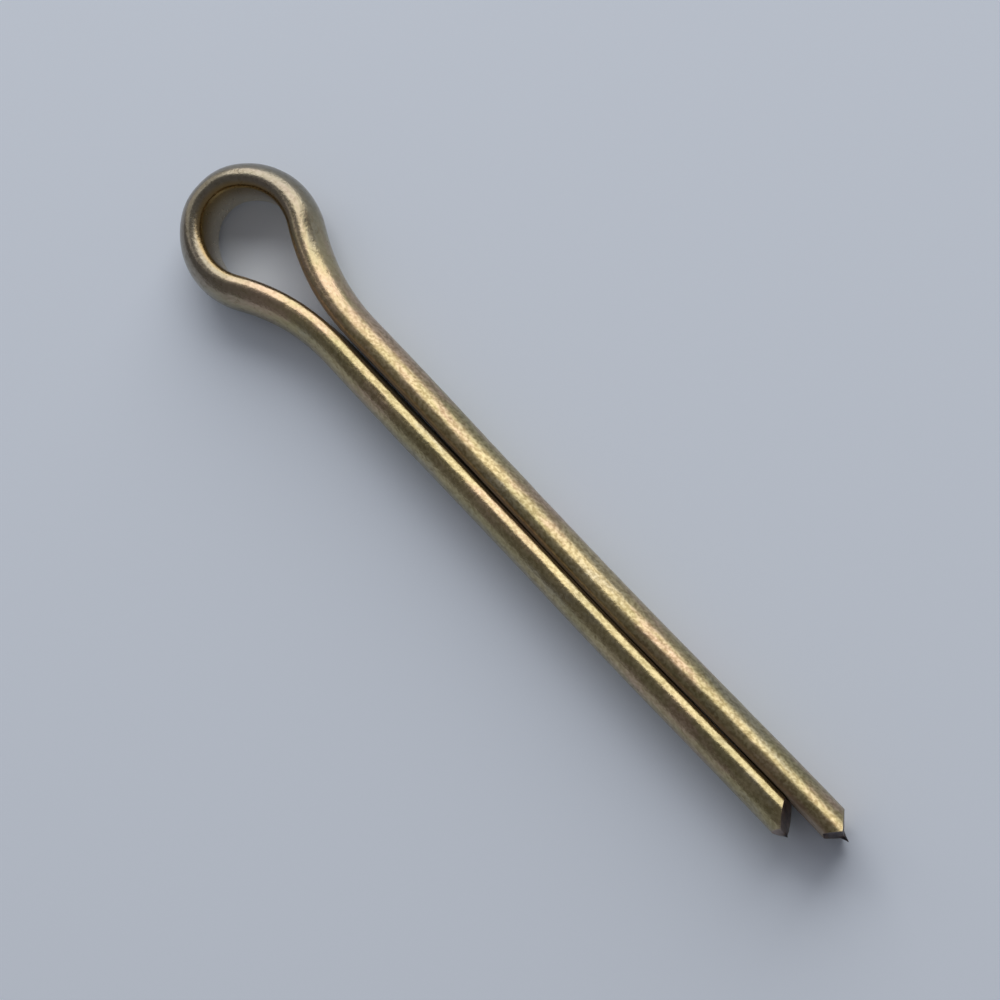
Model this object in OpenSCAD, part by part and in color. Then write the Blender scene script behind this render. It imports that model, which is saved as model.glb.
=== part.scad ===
// Cotter pin, bent in one piece from half-round wire: a teardrop eye, then a long and a short leg
// that lie flat to flat, each sheared to a blunt edge with a nib of torn metal on it.
// X runs along the shank towards the tips, from where the legs start to run parallel.
// The bend lies flat in the XY plane, and the shank's axis is the X axis.

/* [Shank] */
// Diameter of the shank, over both legs
shank_d = 3.7; // [3:0.1:4.4]
// Gap between the flat faces of the legs
leg_gap = 0.2; // [0.1:0.05:0.4]
// Radius along the two edges of the half-round wire
edge_r = 0.45; // [0.2:0.05:0.5]
// Nominal length, from the rim of the hole to the end of the short leg
nominal_l = 40; // [16:1:80]
// Reach of the long leg past the short one
leg_lead = 2.2; // [1:0.1:6]
// Play of the shank in the hole that the pin is made for
hole_play = 0.3; // [0.1:0.05:0.6]

/* [Eye] */
// Width over the outside of the eye
eye_w = 8.3; // [7.6:0.1:10.4]
// Inner bend radius of the nose, at the outer end of the eye
nose_r = 1.7; // [1:0.1:1.8]
// Angle from the X axis to the joint of the nose and a cheek
nose_bend = 38; // [20:1:55]
// Angle that the neck turns through, from the cheek to the straight leg
neck_bend = 27.5; // [20:0.5:45]

/* [Tips] */
// Angle between a leg and the bevel on its flat side
inner_bevel = 50; // [30:1:70]
// Angle between a leg and the bevel on its round side
outer_bevel = 44; // [30:1:70]
// Distance of the long leg's sheared edge from its flat face
long_edge_y = 0.8; // [0.4:0.1:1.4]
// Distance of the short leg's sheared edge from its flat face
short_edge_y = 1.3; // [0.4:0.1:1.4]
// Length of the nib of torn metal past the sheared edge
nib_l = 0.5; // [0.2:0.1:1]
// Thickness of the nib at its root
nib_t = 0.25; // [0.15:0.05:0.6]
// Height of the nib
nib_h = 0.6; // [0.4:0.1:1.2]
// Height of the middle of the nib over the shank's axis
nib_rise = -0.8; // [-0.8:0.1:0.8]

/* [Hidden] */
$fn = 64;

shank_r = shank_d / 2;
wire_t = shank_r - leg_gap / 2;
hole_r = (shank_d + hole_play) / 2;
// Height of the centres of the wire's rounded edges
edge_z = sqrt(pow(shank_r - edge_r, 2) - pow(leg_gap / 2 + edge_r, 2));

// Each side of the eye is a chain of tangent bends: half of the nose, a cheek and a neck.
// The cheek's radius gives the eye its width, and the neck's brings it in to the straight leg.
cheek_r = (eye_w / 2 - wire_t - nose_r * sin(nose_bend)) / (1 - sin(nose_bend));
cheek_y = (nose_r - cheek_r) * sin(nose_bend);
neck_r = (cheek_y + cheek_r * cos(neck_bend) - leg_gap / 2) / (1 - cos(neck_bend));
cheek_x = -(cheek_r + neck_r) * sin(neck_bend);
nose_x = cheek_x - (cheek_r - nose_r) * cos(nose_bend);

// The neck widens towards the eye and seats on the hole's rim this far before the parallel legs
seat_run = sqrt(pow(neck_r - wire_t, 2) - pow(neck_r + leg_gap / 2 - hole_r, 2));
short_reach = nominal_l - seat_run;
long_reach = short_reach + leg_lead;

// Moves by v in a round step and the small rest, so that bends meet face to face with no rounding
module place(v) {
    round_step = [for (c = v) round(c * 1000) / 1000];
    translate(round_step)
        translate(v - round_step)
            children();
}

// Half-round section of the wire: the flat face on the Y axis, the round back towards +X
module wire_section() {
    reach = 2 * shank_d / (leg_gap / 2 + edge_r);
    far_x = reach * (leg_gap / 2 + edge_r) - leg_gap / 2;
    far_z = reach * edge_z;
    intersection() {
        translate([-leg_gap / 2, 0])
            circle(r = shank_r);
        polygon([
            [0, -edge_z], [edge_r, -edge_z], [far_x, -far_z],
            [far_x, far_z], [edge_r, edge_z], [0, edge_z]
        ]);
    }
    for (side = [-1, 1])
        translate([edge_r, side * edge_z])
            circle(r = edge_r, $fn = 24);
}

// Straight wire along +X from x = 0: the flat face on the XZ plane, the round back towards +Y
module straight_wire(l) {
    rotate([90, 0, 90])
        linear_extrude(height = l)
            wire_section();
}

// Bend of the wire round its flat face, which lies at radius r
module outward_bend(r, from, turn) {
    rotate_extrude(start = from, angle = turn)
        place([r, 0])
            wire_section();
}

// Bend of the wire round its back, with the flat face on the outside at radius r
module inward_bend(r, from, turn) {
    rotate_extrude(start = from, angle = turn)
        place([r, 0])
            mirror([1, 0])
                wire_section();
}

// Outer end of the eye, shared by both sides
module nose() {
    place([nose_x, 0, 0])
        outward_bend(nose_r, 180 - nose_bend, 2 * nose_bend);
}

// Side of the eye, from the nose to the neck
module cheek() {
    place([cheek_x, cheek_y, 0])
        outward_bend(cheek_r, 90 - neck_bend, 90 + neck_bend - nose_bend);
}

// Reversed bend that brings a side of the eye in to its leg
module neck() {
    place([0, leg_gap / 2 + neck_r, 0])
        inward_bend(neck_r, 270 - neck_bend, neck_bend);
}

// Plan of a leg whose two bevels meet at a sheared edge, edge_y away from the flat face
module leg_plan(reach, edge_y) {
    over = wire_t;
    polygon([
        [-over, -over],
        [reach - (edge_y + over) / tan(inner_bevel), -over],
        [reach, edge_y],
        [reach - (wire_t - edge_y + over) / tan(outer_bevel), wire_t + over],
        [-over, wire_t + over]
    ]);
}

// Thin nib of torn metal that stands on the sheared edge
module nib(reach, edge_y) {
    translate([0, 0, nib_rise])
        linear_extrude(height = nib_h, center = true)
            polygon([
                [reach - nib_t, edge_y - nib_t / 2],
                [reach + nib_l, edge_y],
                [reach - nib_t, edge_y + nib_t / 2]
            ]);
}

// Straight leg with its bevelled tip
module leg(reach, edge_y) {
    translate([0, leg_gap / 2, 0]) {
        intersection() {
            straight_wire(reach);
            linear_extrude(height = 2 * shank_d, center = true)
                leg_plan(reach, edge_y);
        }
        nib(reach, edge_y);
    }
}

// One side of the pin, from the nose to the tip
module side(reach, edge_y) {
    cheek();
    neck();
    leg(reach, edge_y);
}

module cotter_pin() {
    color([0.62, 0.55, 0.38]) {
        nose();
        side(long_reach, long_edge_y);
        mirror([0, 1, 0])
            side(short_reach, short_edge_y);
    }
}

cotter_pin();
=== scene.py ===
"""Looks of the cotter pin: one length of half-round wire, bent into an eye and two flat-to-flat legs.

The wire is swept along its bends by a Geometry Nodes tree, sheared at both tips, and dressed in a
worn yellow chromate. A pale floor, a window of soft light and a camera make up the studio.
The pin's sizes are in millimetres until a mesh is made. Every mesh is in metres, in the frame's axes.
"""

import logging
import math
from dataclasses import dataclass, field
from enum import Enum
from typing import Any

import bpy
import bmesh
from mathutils import Matrix, Vector, noise


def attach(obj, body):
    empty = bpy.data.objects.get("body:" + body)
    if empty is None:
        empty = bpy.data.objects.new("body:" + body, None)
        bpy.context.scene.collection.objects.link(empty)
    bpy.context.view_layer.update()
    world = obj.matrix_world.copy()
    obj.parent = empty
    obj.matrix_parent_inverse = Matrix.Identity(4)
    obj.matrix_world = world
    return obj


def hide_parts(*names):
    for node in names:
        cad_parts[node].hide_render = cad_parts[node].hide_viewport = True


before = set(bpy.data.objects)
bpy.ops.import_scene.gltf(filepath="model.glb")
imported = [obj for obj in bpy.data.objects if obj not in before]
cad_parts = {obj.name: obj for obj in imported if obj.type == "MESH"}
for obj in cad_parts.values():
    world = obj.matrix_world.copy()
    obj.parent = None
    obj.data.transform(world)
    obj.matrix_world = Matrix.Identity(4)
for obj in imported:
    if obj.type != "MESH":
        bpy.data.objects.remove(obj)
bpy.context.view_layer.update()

LOG = logging.getLogger("cotter_pin")
MM = 0.001
BODY = "root"
NODE = "cotter_pin"

Colour = tuple[float, float, float, float]
Point = tuple[float, float]
Place = tuple[float, float, float]
Shape = tuple[list[Place], list[tuple[int, int]], list[tuple[int, ...]]]


# ---------------------------------------------------------------- node trees

@dataclass(frozen=True)
class Pattern:
    """A noise over the straightened wire, which is in metres: along, from the flat and up.

    scale is how fine it is, detail how many finer layers it has, and rough how strong those are. stretch
    is what each part of the place is multiplied by first, and seed moves the noise to another place.
    """

    scale: float
    detail: float
    rough: float
    stretch: Place
    seed: float = 0.0


class Wire:
    """A socket in a node tree, with Python's arithmetic."""

    def __init__(self, tree: "Tree", socket: bpy.types.NodeSocket) -> None:
        """Keep the tree that the socket belongs to."""
        self.tree = tree
        self.socket = socket

    def maths(self, operation: str, *others: "Wire | float") -> "Wire":
        """Add one Math node that starts from this value.

        Args:
            operation: the Math node's operation.
            others: its other values.

        Returns:
            The node's result.
        """
        values = {index + 1: other for index, other in enumerate(others)}
        return self.tree.add("ShaderNodeMath", {"operation": operation}, {0: self, **values})

    def __add__(self, other: "Wire | float") -> "Wire":
        """Sum."""
        return self.maths("ADD", other)

    def __sub__(self, other: "Wire | float") -> "Wire":
        """Difference."""
        return self.maths("SUBTRACT", other)

    def __mul__(self, other: "Wire | float") -> "Wire":
        """Product."""
        return self.maths("MULTIPLY", other)

    def __radd__(self, other: float) -> "Wire":
        """Sum with a number first."""
        return self.maths("ADD", other)

    def __rmul__(self, other: float) -> "Wire":
        """Product with a number first."""
        return self.maths("MULTIPLY", other)

    def __rsub__(self, other: float) -> "Wire":
        """Difference with a number first."""
        return self.tree.add("ShaderNodeMath", {"operation": "SUBTRACT"}, {0: other, 1: self})

    def step(self, low: float, high: float) -> "Wire":
        """Rise smoothly from 0 at low to 1 at high, or fall where low is the larger.

        Args:
            low: the value that gives 0.
            high: the value that gives 1.

        Returns:
            The smooth step.
        """
        settings = {"interpolation_type": "SMOOTHSTEP"}
        if low < high:
            return self.tree.add("ShaderNodeMapRange", settings,
                                 {"Value": self, "From Min": low, "From Max": high})
        return self.tree.add("ShaderNodeMapRange", settings,
                             {"Value": self, "From Min": high, "From Max": low,
                              "To Min": 1.0, "To Max": 0.0})


class Tree:
    """Adds nodes to a shader's or a Geometry Nodes tree, each in one call."""

    def __init__(self, tree: bpy.types.NodeTree) -> None:
        """Start on a tree."""
        self.tree = tree

    def add(self, kind: str, settings: dict[str, Any] | None = None,
            values: dict[int | str, Any] | None = None, output: int | str = 0) -> Wire:
        """Add a node.

        Args:
            kind: the node's type.
            settings: its properties, set before its sockets. "points" is a curve's list of points.
            values: what goes into its sockets, by name, identifier or index: a Wire or a plain value.
            output: the socket that the result comes from.

        Returns:
            The wanted output.
        """
        node = self.tree.nodes.new(kind)
        for name, value in (settings or {}).items():
            if name == "points":
                self._set_points(node, value)
            else:
                setattr(node, name, value)
        for key, value in (values or {}).items():
            for one in value if isinstance(value, list) else [value]:
                self._feed(self._find(node.inputs, key), one)
        return Wire(self, self._find(node.outputs, output))

    @staticmethod
    def _set_points(node: bpy.types.Node, points: list[Point]) -> None:
        """Give a curve its points.

        Args:
            node: the curve's node.
            points: the points, each from 0 to 1 both ways.
        """
        curve = node.mapping.curves[0]
        while len(curve.points) < len(points):
            curve.points.new(0.5, 0.5)
        for point, (x, y) in zip(curve.points, points):
            point.location = (x, y)
        node.mapping.update()

    @staticmethod
    def _find(sockets: Any, key: int | str) -> bpy.types.NodeSocket:
        """Find a socket.

        Args:
            sockets: the node's inputs or outputs.
            key: the socket's index, its identifier, or the name of one that is in use.

        Returns:
            The socket.
        """
        if isinstance(key, int):
            return sockets[key]
        for socket in sockets:
            if socket.identifier == key:
                return socket
        return next(s for s in sockets if s.name == key and s.enabled)

    def _feed(self, socket: bpy.types.NodeSocket, value: Any) -> None:
        """Link a Wire to a socket, or set the socket's own value.

        Args:
            socket: the socket.
            value: the Wire or the value.
        """
        if isinstance(value, Wire):
            self.tree.links.new(value.socket, socket)
        else:
            socket.default_value = value

    def mix(self, factor: Wire | float, first: Wire | Colour, second: Wire | Colour,
            blend: str = "MIX") -> Wire:
        """Mix two colours.

        Args:
            factor: 0 for the first, 1 for the second.
            first: the colour underneath.
            second: the colour on top.
            blend: the Mix node's blend type.

        Returns:
            The mixed colour.
        """
        return self.add("ShaderNodeMix", {"data_type": "RGBA", "blend_type": blend},
                        {"Factor_Float": factor, "A_Color": first, "B_Color": second}, "Result_Color")

    def vector(self, x: Wire | float, y: Wire | float, z: Wire | float) -> Wire:
        """Join three numbers into a vector."""
        return self.add("ShaderNodeCombineXYZ", None, {0: x, 1: y, 2: z})

    def parts(self, vector: Wire) -> tuple[Wire, Wire, Wire]:
        """Split a vector into its three numbers."""
        x, y, z = self.add("ShaderNodeSeparateXYZ", None, {0: vector}).socket.node.outputs
        return Wire(self, x), Wire(self, y), Wire(self, z)

    def noise(self, where: Wire, pattern: Pattern) -> Wire:
        """Add a noise over a vector.

        Args:
            where: the vector.
            pattern: how the noise looks.

        Returns:
            The noise, about 0.5.
        """
        seed = pattern.seed
        moved = self.add("ShaderNodeVectorMath", {"operation": "MULTIPLY_ADD"},
                         {0: where, 1: pattern.stretch, 2: (seed, seed * 0.37, seed * 0.61)})
        return self.add("ShaderNodeTexNoise", None,
                        {"Vector": moved, "Scale": pattern.scale, "Detail": pattern.detail,
                         "Roughness": pattern.rough})


# ---------------------------------------------------------------- sizes

@dataclass(frozen=True)
class Nib:
    """The torn metal on one sheared edge: its middle up the leg, its width and how tall it is."""

    middle: float
    width: float
    tall: float


@dataclass(frozen=True)
class PinSizes:
    """The pin's sizes in millimetres and degrees, as constructed, with the wire's edges worn rounder."""

    # The wire, and the shank that its two legs make.
    shank_d: float = 3.7
    leg_gap: float = 0.2
    edge_r: float = 0.63
    # How far the legs reach, measured from the rim of the hole that the pin is for.
    nominal_l: float = 40.0
    leg_lead: float = 2.2
    hole_play: float = 0.3
    # The eye's bends.
    eye_w: float = 8.3
    nose_r: float = 1.7
    nose_bend: float = 38.0
    neck_bend: float = 27.5
    # The sheared ends: bevels, the place of the edge between them, lean off square, and torn metal.
    inner_bevel: float = 50.0
    outer_bevel: float = 44.0
    long_edge_y: float = 0.8
    short_edge_y: float = 1.3
    long_lean: float = 13.0
    short_lean: float = 6.0
    stretch: float = 0.06
    nib_l: float = 0.5
    long_nib: Nib = Nib(-1.0, 0.32, 1.2)
    short_nib: Nib = Nib(-0.7, 0.35, 0.4)
    # How the legs spring out of the pin's plane, and how they sway and roll towards the tips.
    spring: float = 0.12
    spring_from: float = -13.0
    sway: float = 0.2
    sway_from: float = 20.0
    long_roll: float = 7.0
    short_roll: float = 5.5
    roll_room: float = 0.01
    # The most that the gap between the legs may be, and its width at places along the shank. The last
    # width holds to the tip.
    widest_gap: float = 0.3
    gaps: tuple[Point, ...] = (
        (-9.0, 0.12), (-5.0, 0.05), (-2.0, 0.12), (1.0, 0.20), (5.0, 0.20), (9.0, 0.13),
        (13.0, 0.08), (17.0, 0.03), (22.0, 0.02), (28.0, 0.035), (34.0, 0.02))

    @property
    def eye_run(self) -> float:
        """Length of the wire's middle from the start of a straight leg to the middle of the nose.

        Returns:
            The length.
        """
        half = self.wire_t / 2
        cheek_turn = 90 + self.neck_bend - self.nose_bend
        turns = ((self.neck_bend, self.neck_r - half), (cheek_turn, self.cheek_r + half),
                 (self.nose_bend, self.nose_r + half))
        return sum(math.radians(turn) * radius for turn, radius in turns)

    @property
    def shank_r(self) -> float:
        """Radius of the shank."""
        return self.shank_d / 2

    @property
    def wire_t(self) -> float:
        """Thickness of the half-round wire, from its flat to its back."""
        return self.shank_r - self.leg_gap / 2

    @property
    def edge_z(self) -> float:
        """Height of the centres of the wire's rounded edges."""
        return math.sqrt((self.shank_r - self.edge_r) ** 2 - (self.leg_gap / 2 + self.edge_r) ** 2)

    @property
    def cheek_r(self) -> float:
        """Inner radius of the cheeks, which gives the eye its width."""
        sine = math.sin(math.radians(self.nose_bend))
        return (self.eye_w / 2 - self.wire_t - self.nose_r * sine) / (1 - sine)

    @property
    def cheek_y(self) -> float:
        """Distance of a cheek's centre from the shank's axis."""
        return (self.nose_r - self.cheek_r) * math.sin(math.radians(self.nose_bend))

    @property
    def neck_r(self) -> float:
        """Radius of the necks, which brings the cheeks in to the straight legs."""
        cosine = math.cos(math.radians(self.neck_bend))
        return (self.cheek_y + self.cheek_r * cosine - self.leg_gap / 2) / (1 - cosine)

    @property
    def cheek_x(self) -> float:
        """Place of the cheeks' centres along the shank's axis."""
        return -(self.cheek_r + self.neck_r) * math.sin(math.radians(self.neck_bend))

    @property
    def nose_x(self) -> float:
        """Place of the nose's centre along the shank's axis."""
        return self.cheek_x - (self.cheek_r - self.nose_r) * math.cos(math.radians(self.nose_bend))

    @property
    def short_reach(self) -> float:
        """Length of the short straight leg: the nominal one, less the part of the neck in the hole.

        Returns:
            The length.
        """
        hole_r = (self.shank_d + self.hole_play) / 2
        back_r = self.neck_r - self.wire_t
        return self.nominal_l - math.sqrt(
            back_r ** 2 - (self.neck_r + self.leg_gap / 2 - hole_r) ** 2)

    @property
    def long_reach(self) -> float:
        """Length of the long straight leg."""
        return self.short_reach + self.leg_lead

    @property
    def long_blank(self) -> float:
        """Length of the long leg before its end is sheared."""
        return self.long_reach + self.stretch + self.shank_r * math.tan(math.radians(self.long_lean))

    @property
    def short_blank(self) -> float:
        """Length of the short leg before its end is sheared."""
        return self.short_reach + self.stretch + self.shank_r * math.tan(math.radians(self.short_lean))


class Side(Enum):
    """The two legs, by the sign of the side that they lie on."""

    LONG = 1
    SHORT = -1


# ---------------------------------------------------------------- the wire

@dataclass
class WireSection:
    """The half-round section: rows from the flat to the back, each with its half-height."""

    sizes: PinSizes
    flat_parts: int = 24
    edge_parts: int = 12
    back_parts: int = 14

    def rows(self) -> list[Point]:
        """List each row's distance from the flat and half-height, from the flat to the back.

        Returns:
            The rows. The last one has no height.
        """
        s = self.sizes
        meet = math.atan2(s.edge_z, s.leg_gap / 2 + s.edge_r)
        edge_turns = [math.pi + (meet - math.pi) * part / self.edge_parts for part in range(self.edge_parts)]
        back_turns = [meet * (1 - part / self.back_parts) for part in range(self.back_parts + 1)]
        rows = [(s.edge_r * (1 + math.cos(turn)), s.edge_z + s.edge_r * math.sin(turn))
                for turn in edge_turns]
        rows += [(s.shank_r * math.cos(turn) - s.leg_gap / 2, s.shank_r * math.sin(turn))
                 for turn in back_turns]
        rows += [(y, self._height(y, meet)) for y in (s.long_edge_y, s.short_edge_y)]
        return sorted(rows)

    def _height(self, from_flat: float, meet: float) -> float:
        """Find the half-height at a distance from the flat.

        Args:
            from_flat: the distance.
            meet: the angle on the back at which the rounded edge starts.

        Returns:
            The half-height.
        """
        s = self.sizes
        if from_flat + s.leg_gap / 2 > s.shank_r * math.cos(meet):
            return math.sqrt(s.shank_r ** 2 - (from_flat + s.leg_gap / 2) ** 2)
        return s.edge_z + math.sqrt(s.edge_r ** 2 - (from_flat - s.edge_r) ** 2)

    def outline(self) -> list[Point]:
        """List the section's outline once round, from the upper end of the flat.

        Returns:
            The outline, each point as its distance from the flat and its height.
        """
        rows = self.rows()
        high_to_low = [1 - 2 * part / self.flat_parts for part in range(self.flat_parts)]
        flat = [(0.0, rows[0][1] * place) for place in high_to_low]
        back = [(y, -z) for y, z in rows[:-1]] + [(rows[-1][0], 0.0)]
        return flat + back + list(reversed(rows[1:-1]))


@dataclass
class BentWire:
    """The whole pin, swept from the long tip round the eye to the short tip.

    Lengths are in millimetres, and the angle is in degrees. A span is a pair of values: the first one
    counts as 0, and the second one as 1. Dings are shallower where the flat is nearer than the sheltered
    distance.
    """

    sizes: PinSizes
    section: WireSection
    material: bpy.types.Material
    ring_spacing: float = 0.2
    weld_distance: float = 0.004
    blunting: float = 0.12
    crest_w: float = 0.12
    break_grain: float = 0.05
    sharp_angle: float = 38.0
    ding_depth: float = 0.035
    waves: Pattern = Pattern(140.0, 1.0, 0.4, (0.5, 1.0, 1.0))
    dings: Pattern = Pattern(900.0, 2.0, 0.6, (0.6, 1.0, 1.0))
    ding_span: Point = (0.56, 0.78)
    sheltered: float = 0.3
    seed: int = 7
    helpers: list[bpy.types.Object] = field(default_factory=list)

    def build(self) -> bpy.types.Object:
        """Sweep, shear and dress the wire.

        Returns:
            The finished piece, in place.
        """
        carrier = self._helper("wire_path", self._path())
        outline = self._helper("wire_outline", self._outline_loop())
        ends = self._helper("wire_ends", self._ends())
        self._mark_ends(ends)
        tree, inputs = self._tree()
        sweep = carrier.modifiers.new("sweep", "NODES")
        sweep.node_group = tree
        chosen = {
            "Outline": outline, "Ends": ends, "Finish": self.material,
            "Ring spacing": self.ring_spacing * MM, "Weld distance": self.weld_distance * MM,
            "Blunting": self.blunting * MM, "Ding depth": self.ding_depth * MM, "Seed": self.seed,
        }
        for name, value in chosen.items():
            sweep[inputs[name]] = value
        mesh = bpy.data.meshes.new_from_object(
            carrier.evaluated_get(bpy.context.evaluated_depsgraph_get()))
        for helper in self.helpers:
            bpy.data.objects.remove(helper)
        bpy.data.node_groups.remove(tree)
        mesh.name = "bent_wire"
        self._close(mesh, self.sharp_angle)
        piece = bpy.data.objects.new("bent_wire", mesh)
        bpy.context.scene.collection.objects.link(piece)
        return piece

    def _helper(self, name: str, shape: Shape) -> bpy.types.Object:
        """Make an object that only feeds the tree.

        Args:
            name: its name.
            shape: its points in millimetres, its edges and its faces.

        Returns:
            The object, linked to the scene.
        """
        points, edges, faces = shape
        mesh = bpy.data.meshes.new(name)
        mesh.from_pydata([[c * MM for c in point] for point in points], edges, faces)
        helper = bpy.data.objects.new(name, mesh)
        bpy.context.scene.collection.objects.link(helper)
        self.helpers.append(helper)
        return helper

    @staticmethod
    def _bend(centre: Point, radius: float, start: float, end: float) -> list[Point]:
        """List points round a bend, its two ends included.

        Args:
            centre: the bend's centre.
            radius: its radius.
            start: the angle it starts at.
            end: the angle it ends at.

        Returns:
            The points, half a degree apart.
        """
        count = max(2, round(abs(end - start) * 2))
        angles = [math.radians(start + (end - start) * part / count) for part in range(count + 1)]
        return [(centre[0] + radius * math.cos(a), centre[1] + radius * math.sin(a)) for a in angles]

    def _path(self) -> Shape:
        """Trace the middle of the wire from the long tip, round the eye, to the short tip.

        Returns:
            The points and edges of the trace.
        """
        s = self.sizes
        half = s.wire_t / 2
        leg_y = s.leg_gap / 2 + half
        side = [(s.long_blank, leg_y)]
        side += self._bend((0, s.leg_gap / 2 + s.neck_r), s.neck_r - half, 270, 270 - s.neck_bend)
        side += self._bend((s.cheek_x, s.cheek_y), s.cheek_r + half,
                           90 - s.neck_bend, 180 - s.nose_bend)[1:]
        side += self._bend((s.nose_x, 0), s.nose_r + half, 180 - s.nose_bend, 180)[1:]
        back = [(x, -y) for x, y in reversed(side[1:-1])] + [(s.short_blank, -leg_y)]
        points = [(x, y, 0.0) for x, y in side + back]
        return points, [(i, i + 1) for i in range(len(points) - 1)], []

    def _outline_loop(self) -> Shape:
        """Trace the section about the middle of the wire.

        Returns:
            The points and edges of a closed loop.
        """
        half = self.sizes.wire_t / 2
        points = [(y - half, z, 0.0) for y, z in self.section.outline()]
        count = len(points)
        return points, [(i, (i + 1) % count) for i in range(count)], []

    def _end_grid(self, side: Side) -> Shape:
        """Lay a grid over one sheared end, still square to the leg.

        Args:
            side: which leg.

        Returns:
            The grid's points as along, from the flat and up, with no edges, and its faces.
        """
        s = self.sizes
        reach = s.long_blank if side is Side.LONG else s.short_blank
        rows, parts = self.section.rows(), self.section.flat_parts
        points = [(reach, y, z * (2 * part / parts - 1)) for y, z in rows[:-1] for part in range(parts + 1)]
        points.append((reach, rows[-1][0], 0.0))
        width = parts + 1
        faces: list[tuple[int, ...]] = []
        for row in range(len(rows) - 2):
            for part in range(parts):
                low = row * width + part
                faces.append((low, low + 1, low + width + 1, low + width))
        last = (len(rows) - 2) * width
        faces += [(last + part, last + part + 1, len(points) - 1) for part in range(parts)]
        return points, [], faces

    def _ends(self) -> Shape:
        """Join the grids of both ends, each in its place.

        Returns:
            The points and faces of both.
        """
        points: list[Place] = []
        faces: list[tuple[int, ...]] = []
        for side in Side:
            grid, _, cells = self._end_grid(side)
            start = len(points)
            points += [(x, side.value * (self.sizes.leg_gap / 2 + y), z) for x, y, z in grid]
            faces += [tuple(start + corner for corner in cell)[::-side.value] for cell in cells]
        return points, [], faces

    def _mark_ends(self, ends: bpy.types.Object) -> None:
        """Write on each point of the ends where it is on the wire, and how far it is torn out.

        Args:
            ends: the object that holds the grids of both ends.
        """
        s = self.sizes
        rows = self.section.rows()
        marks: dict[str, list[float]] = {
            name: [] for name in ("wire_s", "section_y", "section_z", "torn", "nib")}
        for point in ends.data.vertices:
            _, y, z = (c / MM for c in point.co)
            side = Side.LONG if y > 0 else Side.SHORT
            from_flat = abs(y) - s.leg_gap / 2
            edge = s.long_edge_y if side is Side.LONG else s.short_edge_y
            height = min(rows, key=lambda row: abs(row[0] - from_flat))[1]
            # Nothing is torn out at the rim, so that the end still meets the swept wire.
            inside = 1 - (abs(z) / height) ** 4 if height > 0.05 and from_flat > 1e-4 else 0.0
            marks["wire_s"].append(0.0 if side is Side.LONG else self._length())
            marks["section_y"].append(from_flat * MM)
            marks["section_z"].append(z * MM)
            marks["torn"].append(1.0)
            marks["nib"].append(inside * self._nib(side, from_flat - edge, z) * MM)
        for name, values in marks.items():
            ends.data.attributes.new(name, "FLOAT", "POINT").data.foreach_set("value", values)

    def _length(self) -> float:
        """Measure the wire along its middle, in metres."""
        points = [Vector(point) for point in self._path()[0]]
        return sum((b - a).length for a, b in zip(points, points[1:])) * MM

    def _nib(self, side: Side, across: float, up: float) -> float:
        """Height of the torn metal at one point of an end.

        Args:
            side: which leg.
            across: the distance from the sheared edge, towards the back of the wire.
            up: the height on the leg.

        Returns:
            How far the metal stands out along the leg, in millimetres.
        """
        nib = self.sizes.long_nib if side is Side.LONG else self.sizes.short_nib
        crest = math.exp(-(across / self.crest_w) ** 2) * math.exp(-((up - nib.middle) / nib.width) ** 4)
        ragged = 0.85 + 0.4 * noise.noise(Vector((up * 3.1, side.value * 4.0, 0.3)))
        grain = self.break_grain * noise.noise(Vector((across * 5, up * 5, side.value * 2.0)))
        return max(0.0, self.sizes.nib_l * min(1.0, ragged) * nib.tall * crest) + grain

    def _tree(self) -> tuple[bpy.types.NodeTree, dict[str, str]]:
        """Build the tree that sweeps, shears, welds, bows and dings the wire.

        Returns:
            The tree, and the identifier of each named input.
        """
        s = self.sizes
        group = bpy.data.node_groups.new("bent_wire", "GeometryNodeTree")
        kinds = {
            "Path": "NodeSocketGeometry", "Outline": "NodeSocketObject", "Ends": "NodeSocketObject",
            "Finish": "NodeSocketMaterial", "Ring spacing": "NodeSocketFloat",
            "Weld distance": "NodeSocketFloat", "Blunting": "NodeSocketFloat",
            "Ding depth": "NodeSocketFloat", "Seed": "NodeSocketInt",
        }
        inputs = {name: group.interface.new_socket(name=name, in_out="INPUT", socket_type=kind).identifier
                  for name, kind in kinds.items()}
        group.interface.new_socket(name="Pin", in_out="OUTPUT", socket_type="NodeSocketGeometry")
        tree = Tree(group)
        given = group.nodes.new("NodeGroupInput")
        value = {name: Wire(tree, given.outputs[name]) for name in kinds}

        path = tree.add("GeometryNodeMeshToCurve", None, {"Mesh": value["Path"]})
        path = tree.add("GeometryNodeResampleCurve", {"mode": "LENGTH"},
                        {"Curve": path, "Length": value["Ring spacing"]})
        path = tree.add("GeometryNodeSetCurveNormal", {"mode": "Z_UP"}, {"Curve": path})
        path = self._keep(tree, path, "wire_s",
                          tree.add("GeometryNodeSplineParameter", None, None, "Length"))
        outline = tree.add("GeometryNodeObjectInfo", None, {"Object": value["Outline"]}, "Geometry")
        outline = tree.add("GeometryNodeMeshToCurve", None, {"Mesh": outline})
        from_middle, downwards, _ = tree.parts(tree.add("GeometryNodeInputPosition"))
        outline = self._keep(tree, outline, "section_y", from_middle + s.wire_t / 2 * MM)
        outline = self._keep(tree, outline, "section_z", downwards * -1.0)
        tube = tree.add("GeometryNodeCurveToMesh", None, {"Curve": path, "Profile Curve": outline})
        ends = tree.add("GeometryNodeObjectInfo", None, {"Object": value["Ends"]}, "Geometry")
        whole = tree.add("GeometryNodeJoinGeometry", None, {"Geometry": [tube, ends]})

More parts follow.
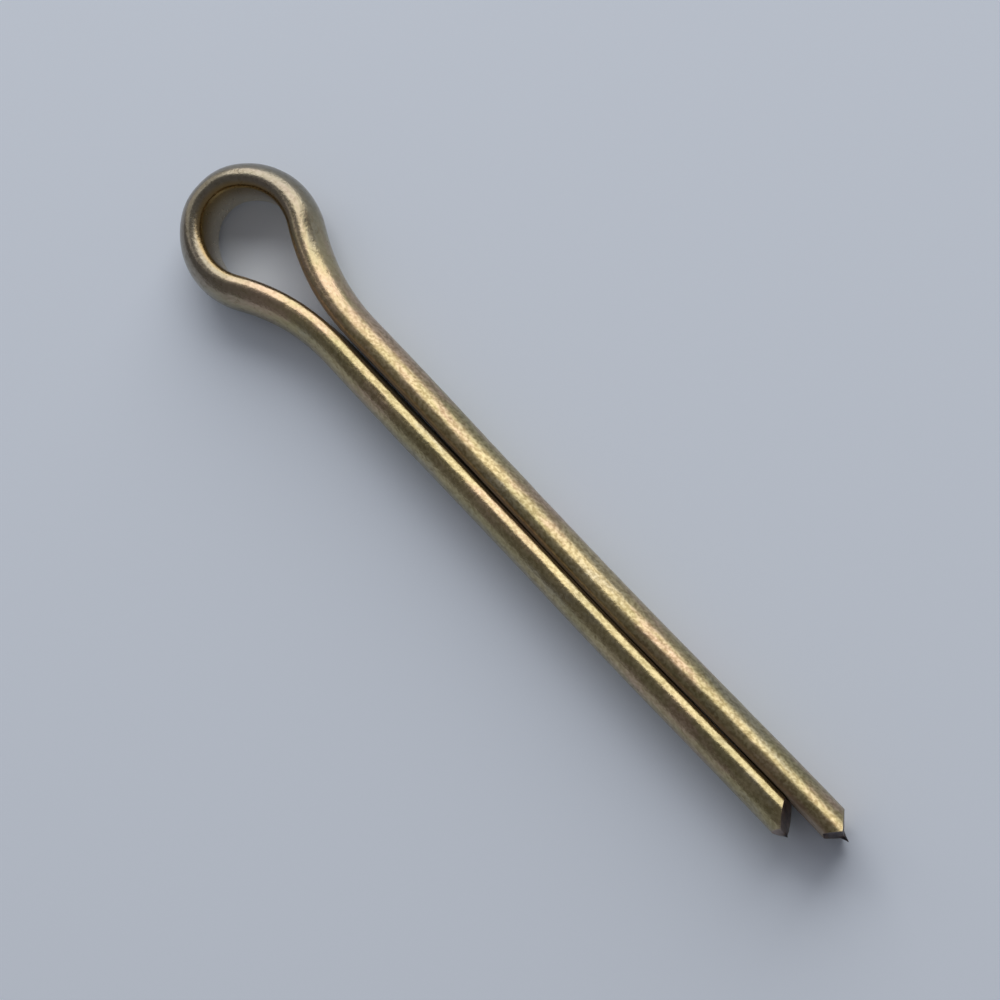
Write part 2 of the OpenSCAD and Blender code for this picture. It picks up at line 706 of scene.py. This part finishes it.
        whole = self._shear(tree, whole, value["Blunting"])
        whole = tree.add("GeometryNodeMergeByDistance", None,
                         {"Geometry": whole, "Distance": value["Weld distance"]})
        straight = tree.vector(self._kept(tree, "wire_s"), self._kept(tree, "section_y"),
                               self._kept(tree, "section_z"))
        whole = self._keep(tree, whole, "straight", straight, "FLOAT_VECTOR")
        whole = self._bow(tree, whole)
        whole = self._ding(tree, whole, value["Ding depth"], value["Seed"])
        whole = tree.add("GeometryNodeSetShadeSmooth", None, {"Geometry": whole})
        whole = tree.add("GeometryNodeRealizeInstances", None, {"Geometry": whole})
        whole = tree.add("GeometryNodeSetMaterial", None,
                         {"Geometry": whole, "Material": value["Finish"]})
        out = group.nodes.new("NodeGroupOutput")
        group.links.new(whole.socket, out.inputs[0])
        return group, inputs

    @staticmethod
    def _keep(tree: Tree, shape: Wire, name: str, value: Wire, kind: str = "FLOAT") -> Wire:
        """Store a value on the points of a shape under a name."""
        return tree.add("GeometryNodeStoreNamedAttribute", {"data_type": kind, "domain": "POINT"},
                        {"Geometry": shape, "Name": name, "Value": value})

    @staticmethod
    def _kept(tree: Tree, name: str) -> Wire:
        """Read a stored value back."""
        return tree.add("GeometryNodeInputNamedAttribute", {"data_type": "FLOAT"}, {"Name": name})

    def _shear(self, tree: Tree, shape: Wire, blunting: Wire) -> Wire:
        """Pull both ends back onto their bevels, and stand the torn nib on the edge.

        Args:
            tree: the tree.
            shape: the swept wire with its ends still square.
            blunting: how far the edge between the bevels is rounded.

        Returns:
            The sheared shape.
        """
        s = self.sizes
        from_flat = self._kept(tree, "section_y")
        x, y, z = tree.parts(tree.add("GeometryNodeInputPosition"))
        limits = {}
        for side, reach, edge, angle in ((Side.LONG, s.long_reach, s.long_edge_y, s.long_lean),
                                         (Side.SHORT, s.short_reach, s.short_edge_y, s.short_lean)):
            past = from_flat - edge * MM
            inner = past * (-1 / math.tan(math.radians(s.inner_bevel)))
            outer = past * (1 / math.tan(math.radians(s.outer_bevel)))
            lean = z * math.tan(math.radians(angle))
            limits[side] = (reach + s.stretch) * MM + lean - inner.maths("SMOOTH_MAX", outer, blunting)
        is_long = tree.add("FunctionNodeCompare", {"data_type": "FLOAT", "operation": "GREATER_THAN"},
                           {"A": y, "B": 0.0})
        limit = tree.add("GeometryNodeSwitch", {"input_type": "FLOAT"},
                         {"Switch": is_long, "False": limits[Side.SHORT], "True": limits[Side.LONG]})
        sheared = x.maths("MINIMUM", limit) + self._kept(tree, "nib")
        return tree.add("GeometryNodeSetPosition", None,
                        {"Geometry": shape, "Position": tree.vector(sheared, y, z)})

    def _bow(self, tree: Tree, shape: Wire) -> Wire:
        """Let the legs part past the neck, close towards the tips, spring up or down, and sway.

        Each leg also rolls a little about its own middle towards its tip.

        Args:
            tree: the tree.
            shape: the sheared wire.

        Returns:
            The bowed shape.
        """
        s = self.sizes
        start, end = s.gaps[0][0], s.long_reach
        points = [((x - start) / (end - start), gap / 2 / s.widest_gap)
                  for x, gap in (*s.gaps, (end, s.gaps[-1][1]))]
        along, y, z = tree.parts(tree.add("GeometryNodeInputPosition"))
        side = y.maths("SIGN")
        factor = (along - start * MM) * (1 / ((end - start) * MM))
        half_gap = tree.add("ShaderNodeFloatCurve", {"points": points}, {"Value": factor})
        half_gap = half_gap * (s.widest_gap * MM)
        lift = side * along.step(s.spring_from * MM, 0.0) * (-s.spring * MM)
        late = along.step(s.sway_from * MM, s.long_reach * MM)
        on_long = y.maths("GREATER_THAN", 0.0)
        rolls = on_long * (s.long_roll - s.short_roll) + s.short_roll
        turn = late * rolls * math.radians(1)
        from_middle = y - side * ((s.leg_gap + s.wire_t) / 2 * MM)
        sine, less = turn.maths("SINE"), turn.maths("COSINE") - 1.0
        shift = late * (on_long * (s.roll_room * MM) + s.sway * MM)
        sideways = from_middle * less + z * sine + shift
        upwards = z * less - from_middle * sine
        offset = tree.vector(0.0, (half_gap - s.leg_gap / 2 * MM) * side + sideways, lift + upwards)
        return tree.add("GeometryNodeSetPosition", None, {"Geometry": shape, "Offset": offset})

    def _ding(self, tree: Tree, shape: Wire, depth: Wire, seed: Wire) -> Wire:
        """Press shallow waves and dings into the surface, never outwards.

        Args:
            tree: the tree.
            shape: the bowed wire.
            depth: how deep the deepest ding is.
            seed: moves the dings to other places.

        Returns:
            The dinged shape.
        """
        straight = tree.add("GeometryNodeInputNamedAttribute", {"data_type": "FLOAT_VECTOR"},
                            {"Name": "straight"})
        moved = tree.add("ShaderNodeVectorMath", {"operation": "ADD"},
                         {0: straight, 1: tree.vector(seed * 0.013, 0.0, 0.0)})
        waves = tree.noise(moved, self.waves)
        dings = tree.noise(moved, self.dings).step(*self.ding_span)
        on_flat = self._kept(tree, "section_y").step(self.sheltered * MM, 0.0)
        press = (waves * 0.55 + dings * 0.6) * depth * (1.0 - on_flat * 0.7)
        normal = tree.add("GeometryNodeInputNormal")
        offset = tree.add("ShaderNodeVectorMath", {"operation": "SCALE"},
                          {0: normal, "Scale": press * -1.0})
        return tree.add("GeometryNodeSetPosition", None, {"Geometry": shape, "Offset": offset})

    @staticmethod
    def _close(mesh: bpy.types.Mesh, sharp_angle: float) -> None:
        """Turn all faces outwards and keep the sheared edges crisp.

        Args:
            mesh: the swept mesh.
            sharp_angle: the angle in degrees past which an edge is crisp.
        """
        work = bmesh.new()
        work.from_mesh(mesh)
        bmesh.ops.dissolve_degenerate(work, dist=1e-7, edges=work.edges[:])
        bmesh.ops.recalc_face_normals(work, faces=work.faces[:])
        work.to_mesh(mesh)
        work.free()
        mesh.set_sharp_from_angle(angle=math.radians(sharp_angle))


# ---------------------------------------------------------------- finish

@dataclass(frozen=True)
class OnWire:
    """Where a point of the surface is on the straightened wire, in metres.

    whole holds the place along the wire from the long tip, the distance from the flat, and the height up
    the section. at_short is 1 on the short leg's half of the wire, and 0 on the long leg's.
    """

    whole: Wire
    along: Wire
    from_flat: Wire
    up: Wire
    from_nose: Wire
    at_short: Wire


@dataclass(frozen=True)
class YellowChromate:
    """Worn yellow chromate over zinc: gold to olive, with copper blushes, pits and raw torn ends.

    Lengths are in metres. A reach is a pair: the effect is full up to the first distance, and gone past
    the second. A span is a pair of values: the first one counts as 0, and the second one as 1. A share
    says how strong an effect is where it is full.
    """

    # Where the nose is, along the wire from the long tip.
    nose_at: float
    # The plating as it drifts along the wire, its rubbed nose and its dull spots.
    gold: Colour = (0.48, 0.395, 0.225, 1.0)
    olive: Colour = (0.365, 0.315, 0.17, 1.0)
    blush: Colour = (0.51, 0.36, 0.265, 1.0)
    grey: Colour = (0.36, 0.33, 0.26, 1.0)
    rubbed: Colour = (0.23, 0.212, 0.18, 1.0)
    dull: Colour = (0.62, 0.59, 0.52, 1.0)
    # The inside of the eye, amber with a painted reflection of lit floor towards its bottom, and the painted
    # shade and painted light in the groove between the legs.
    amber: Colour = (0.36, 0.24, 0.085, 1.0)
    # Painted reflection of lit floor on the lower part of the eye's inner side.
    painted_floor_reflection: Colour = (0.90, 0.82, 0.66, 1.0)
    # Painted shade, dark brown, down the groove between the legs.
    painted_groove_shade: Colour = (0.23, 0.16, 0.105, 1.0)
    # Painted light, paler, at the deepest part of the groove between the legs.
    painted_groove_light: Colour = (0.42, 0.34, 0.25, 1.0)
    # The sheared ends.
    raw: Colour = (0.035, 0.022, 0.025, 1.0)
    raw_brown: Colour = (0.19, 0.13, 0.10, 1.0)
    smear: Colour = (0.50, 0.37, 0.30, 1.0)
    # Painted shade: the torn nibs under the tips, near black.
    painted_nib_shade: Colour = (0.025, 0.018, 0.018, 1.0)
    # Reaches along the wire from the nose. Past the last one the legs are more spotted.
    rubbed_reach: Point = (0.0045, 0.012)
    eye_reach: Point = (0.007, 0.010)
    blush_reach: Point = (0.012, 0.020)
    smooth_reach: Point = (0.010, 0.018)
    # Reaches along the wire from the long tip: the long leg's copper blush, and its softer shine.
    long_blush: Point = (0.054, 0.066)
    long_shine: Point = (0.038, 0.048)
    # Reaches from the wire's flat, and by how much they fall short on the short leg, past the eye.
    stain_and_shade_reach: Point = (0.00005, 0.0004)
    groove_shade_reach: Point = (0.00008, 0.0003)
    groove_light_reach: Point = (0.00004, 0.00016)
    short_clear: float = 0.00022
    # The height on the section over which the eye's inner side turns paler towards its bottom, a painted
    # reflection of lit floor, and how far the torn metal has to stand out to take the painted shade of the
    # nibs.
    floor_reflection_span: Point = (0.0011, -0.0009)
    nib_shade_span: Point = (0.00002, 0.00012)
    # What is scattered over the wire, and which of its values count.
    drift: Pattern = Pattern(520.0, 4.0, 0.6, (0.25, 1.0, 1.0), 1.0)
    cloud: Pattern = Pattern(520.0, 4.0, 0.65, (0.3, 1.0, 1.0), 2.0)
    pits: Pattern = Pattern(3600.0, 2.0, 0.6, (0.8, 1.0, 1.0), 3.0)
    drag: Pattern = Pattern(2600.0, 2.0, 0.6, (1.0, 1.0, 0.25), 4.0)
    lines: Pattern = Pattern(6000.0, 2.0, 0.6, (0.03, 1.0, 1.0), 5.0)
    grain: Pattern = Pattern(5200.0, 2.0, 0.6, (0.8, 1.0, 1.0), 6.0)
    drift_span: Point = (0.35, 0.68)
    blush_span: Point = (0.50, 0.70)
    grey_span: Point = (0.46, 0.30)
    pit_span: Point = (0.50, 0.72)
    drag_span: Point = (0.28, 0.72)
    grain_span: Point = (0.36, 0.64)
    # How strong each effect is.
    blush_share: float = 0.75
    grey_share: float = 0.5
    rubbed_share: float = 0.8
    pit_share: float = 0.5
    stain_and_shade_share: float = 0.85
    groove_light_share: float = 0.9
    groove_shade_share: float = 0.75
    # How spotted the eye is, how much more so the legs are, and how much less so the short one is than
    # the long one.
    eye_spots: float = 0.35
    leg_spots: float = 0.65
    short_fewer: float = 0.25
    # The shine where nothing is worn, and the relief of lines, grain and pits.
    roughness: float = 0.205
    relief_strength: float = 0.28
    relief_depth: float = 0.00003

    def material(self) -> bpy.types.Material:
        """Make the material.

        Returns:
            The finished material.
        """
        made = bpy.data.materials.new("yellow_chromate")
        made.use_nodes = True
        made.node_tree.nodes.clear()
        tree = Tree(made.node_tree)
        place = self._on_wire(tree)
        torn = tree.add("ShaderNodeAttribute", {"attribute_name": "torn"}, None, "Fac")
        pits = tree.noise(place.whole, self.pits).step(*self.pit_span)
        lines = tree.noise(place.whole, self.lines)
        grain = tree.noise(place.whole, self.grain).step(*self.grain_span)

        colour = self._plating(tree, place)
        on_legs = place.from_nose.step(*self.smooth_reach)
        spotty = self.eye_spots + on_legs * self.leg_spots - place.at_short * on_legs * self.short_fewer
        colour = tree.mix(grain, tree.mix(spotty, colour, self.dull, "MULTIPLY"), colour)
        colour = tree.mix(pits * self.pit_share, colour, self.dull, "MULTIPLY")
        # Flat side: amber patina in the eye with a painted reflection of lit floor at its bottom, and
        # painted shade with painted light in the groove between the legs.
        colour, groove_shaded = self._inner_side(tree, place, colour)
        colour = tree.mix(torn, colour, self._torn_metal(tree, place))

        soft = self._near(place.along, self.long_shine)
        rough = self.roughness + soft * 0.07 + lines * 0.06 + pits * 0.06 + torn * 0.1
        relief = lines * 0.25 + grain * 0.3 - pits * 0.3
        bump = tree.add("ShaderNodeBump", None,
                        {"Height": relief, "Strength": self.relief_strength, "Distance": self.relief_depth})
        # Where the painted groove shade lies, the surface is also rougher and less metallic.
        shader = tree.add("ShaderNodeBsdfPrincipled", None,
                          {"Base Color": colour, "Roughness": rough + groove_shaded * 0.3,
                           "Metallic": 1.0 - groove_shaded * (1.0 - torn) * self.groove_shade_share, "Normal": bump})
        out = made.node_tree.nodes.new("ShaderNodeOutputMaterial")
        made.node_tree.links.new(shader.socket, out.inputs["Surface"])
        return made

    def _on_wire(self, tree: Tree) -> OnWire:
        """Read where the surface is on the straightened wire.

        Args:
            tree: the material's tree.

        Returns:
            The place.
        """
        whole = tree.add("ShaderNodeAttribute", {"attribute_name": "straight"}, None, "Vector")
        along, from_flat, up = tree.parts(whole)
        from_nose = (along - self.nose_at).maths("ABSOLUTE")
        return OnWire(whole, along, from_flat, up, from_nose, along.maths("GREATER_THAN", self.nose_at))

    @staticmethod
    def _near(distance: Wire, reach: Point) -> Wire:
        """Mask that is full up to the first distance of a reach and gone past the second."""
        return distance.step(reach[1], reach[0])

    def _plating(self, tree: Tree, place: OnWire) -> Wire:
        """Drift from gold to olive along the wire, with grey and copper patches and a rubbed nose.

        Args:
            tree: the material's tree.
            place: the place on the wire.

        Returns:
            The colour.
        """
        drift = tree.noise(place.whole, self.drift).step(*self.drift_span)
        colour = tree.mix(drift, self.gold, self.olive)
        cloud = tree.noise(place.whole, self.cloud)
        long_side = self._near(place.along, self.long_blush)
        in_eye = self._near(place.from_nose, self.blush_reach)
        blushed = (cloud + long_side * 0.04 + in_eye * 0.07).step(*self.blush_span)
        colour = tree.mix(blushed * self.blush_share, colour, self.blush)
        colour = tree.mix(cloud.step(*self.grey_span) * self.grey_share, colour, self.grey)
        worn = self._near(place.from_nose, self.rubbed_reach)
        return tree.mix(worn * self.rubbed_share, colour, self.rubbed)

    def _inner_side(self, tree: Tree, place: OnWire, colour: Wire) -> tuple[Wire, Wire]:
        """Colour the wire's flat side: amber patina in the eye, paler towards its bottom as a painted
        reflection of lit floor, and past the eye a painted shade down the groove between the legs, with a
        paler painted light at its deepest; less on the short leg.

        Args:
            tree: the material's tree.
            place: the place on the wire.
            colour: the plating's colour.

        Returns:
            The colour, and how far the painted groove shade reaches, where the surface is also rougher and
            less metallic.
        """
        past_eye = place.from_nose.step(*self.eye_reach)
        # The eye's inner side is amber patina, painted paler towards its bottom as a painted reflection of
        # lit floor.
        inside = tree.mix(place.up.step(*self.floor_reflection_span), self.amber, self.painted_floor_reflection)
        # Past the eye the flat side takes a dark brown painted shade down the groove between the legs.
        inside = tree.mix(past_eye, inside, self.painted_groove_shade)
        from_edge = place.from_flat + place.at_short * past_eye * self.short_clear
        stained_and_shaded = self._near(from_edge, self.stain_and_shade_reach) * self.stain_and_shade_share
        # A paler painted light at the deepest part of the groove, where the legs shade each other.
        groove_lit = self._near(from_edge, self.groove_light_reach) * past_eye * self.groove_light_share
        colour = tree.mix(groove_lit, tree.mix(stained_and_shaded, colour, inside), self.painted_groove_light)
        return colour, self._near(from_edge, self.groove_shade_reach) * past_eye

    def _torn_metal(self, tree: Tree, place: OnWire) -> Wire:
        """Colour the sheared ends: dark raw steel with dragged plating, and the torn nibs painted near black
        as painted shade.

        Args:
            tree: the material's tree.
            place: the place on the wire.

        Returns:
            The colour.
        """
        drag = tree.noise(place.whole, self.drag).step(*self.drag_span)
        nib = tree.add("ShaderNodeAttribute", {"attribute_name": "nib"}, None, "Fac")
        colour = tree.mix(place.at_short, self.raw, self.raw_brown)
        colour = tree.mix(drag * (0.3 + place.at_short * 0.6), colour, self.smear)
        # The torn nibs are painted near black, as painted shade.
        return tree.mix(nib.step(*self.nib_shade_span), colour, self.painted_nib_shade)


# ---------------------------------------------------------------- studio

@dataclass(frozen=True)
class Lamp:
    """A soft rectangular lamp that faces the pin, with its sizes in metres."""

    name: str
    towards: Place
    distance: float
    width: float
    height: float
    glow: float
    tint: tuple[float, float, float] = (1.0, 1.0, 1.0)


@dataclass
class Studio:
    """The pale floor, the lamps, the dim room and the camera.

    Lengths are in metres, and the camera's place and lens are in millimetres.
    """

    centre: Vector
    floor_z: float
    floor_half: float = 1.5
    lamps: tuple[Lamp, ...] = (
        Lamp("window", (-0.578, 0.689, 0.44), 0.60, 0.76, 0.70, 2.35, (1.0, 0.985, 0.96)),
        Lamp("wall", (-0.88, -0.09, 0.47), 0.80, 0.50, 0.80, 0.60, (1.0, 0.99, 0.97)),
    )
    paper: Colour = (0.80, 0.875, 0.995, 1.0)
    paper_rough: float = 0.9
    paper_shine: float = 0.2
    room: Colour = (0.18, 0.18, 0.19, 1.0)
    camera_place: Place = (97.45, 12.2, 175.6)
    camera_up: Place = (-0.656, 0.706, 0.266)
    lens: float = 130.0

    def build(self) -> None:
        """Set up the whole studio."""
        self._floor()
        for lamp in self.lamps:
            self._lamp(lamp)
        self._room()
        self._camera()
        bpy.context.scene.view_settings.view_transform = "Standard"

    def _floor(self) -> None:
        """Lay a wide pale floor under the pin."""
        half = self.floor_half
        mesh = bpy.data.meshes.new("floor")
        corners = [(-half, -half), (half, -half), (half, half), (-half, half)]
        mesh.from_pydata([(x, y, self.floor_z) for x, y in corners], [], [(0, 1, 2, 3)])
        made = bpy.data.materials.new("paper")
        made.use_nodes = True
        shader = made.node_tree.nodes["Principled BSDF"]
        shader.inputs["Base Color"].default_value = self.paper
        shader.inputs["Roughness"].default_value = self.paper_rough
        shader.inputs["Specular IOR Level"].default_value = self.paper_shine
        mesh.materials.append(made)
        floor = bpy.data.objects.new("floor", mesh)
        bpy.context.scene.collection.objects.link(floor)

    def _lamp(self, lamp: Lamp) -> None:
        """Hang one lamp.

        Args:
            lamp: its place, size and glow. The glow is what a mirror would show of it.
        """
        light = bpy.data.lights.new(lamp.name, "AREA")
        light.shape = "RECTANGLE"
        light.size, light.size_y = lamp.width, lamp.height
        light.energy = lamp.glow * math.pi * lamp.width * lamp.height
        light.color = lamp.tint
        place = bpy.data.objects.new(lamp.name, light)
        back = Vector(lamp.towards).normalized()
        place.location = self.centre + back * lamp.distance
        place.rotation_euler = back.to_track_quat("Z", "Y").to_euler()
        bpy.context.scene.collection.objects.link(place)

    def _room(self) -> None:
        """Fill the rest of the room with a dim even light."""
        world = bpy.data.worlds.new("room")
        world.use_nodes = True
        world.node_tree.nodes["Background"].inputs["Color"].default_value = self.room
        bpy.context.scene.world = world

    def _camera(self) -> None:
        """Look at the middle of the pin from above its tips."""
        data = bpy.data.cameras.new("camera")
        data.lens = self.lens
        data.clip_start = 0.01
        camera = bpy.data.objects.new("camera", data)
        camera.location = Vector(self.camera_place) * MM
        back = (camera.location - self.centre).normalized()
        right = Vector(self.camera_up).cross(back).normalized()
        axes = Matrix((right, back.cross(right), back)).transposed()
        camera.rotation_euler = axes.to_euler()
        bpy.context.scene.collection.objects.link(camera)
        bpy.context.scene.camera = camera


def main() -> None:
    """Build the pin and the studio."""
    logging.basicConfig(level=logging.INFO, format="%(name)s: %(message)s")
    sizes = PinSizes()
    finish = YellowChromate(nose_at=(sizes.long_blank + sizes.eye_run) * MM)
    wire = BentWire(sizes, WireSection(sizes), finish.material())
    piece = wire.build()
    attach(piece, BODY)
    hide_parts(NODE)
    LOG.info("bent_wire: %d faces", len(piece.data.polygons))
    low = min(point.co.z for point in piece.data.vertices)
    nose_end = sizes.nose_x - sizes.nose_r - sizes.wire_t
    middle = Vector(((sizes.long_reach + sizes.nib_l + nose_end) / 2 * MM, 0, 0))
    Studio(middle, low).build()
    LOG.info("studio: floor at %.2f mm", low / MM)


if __name__ == "__main__":
    main()
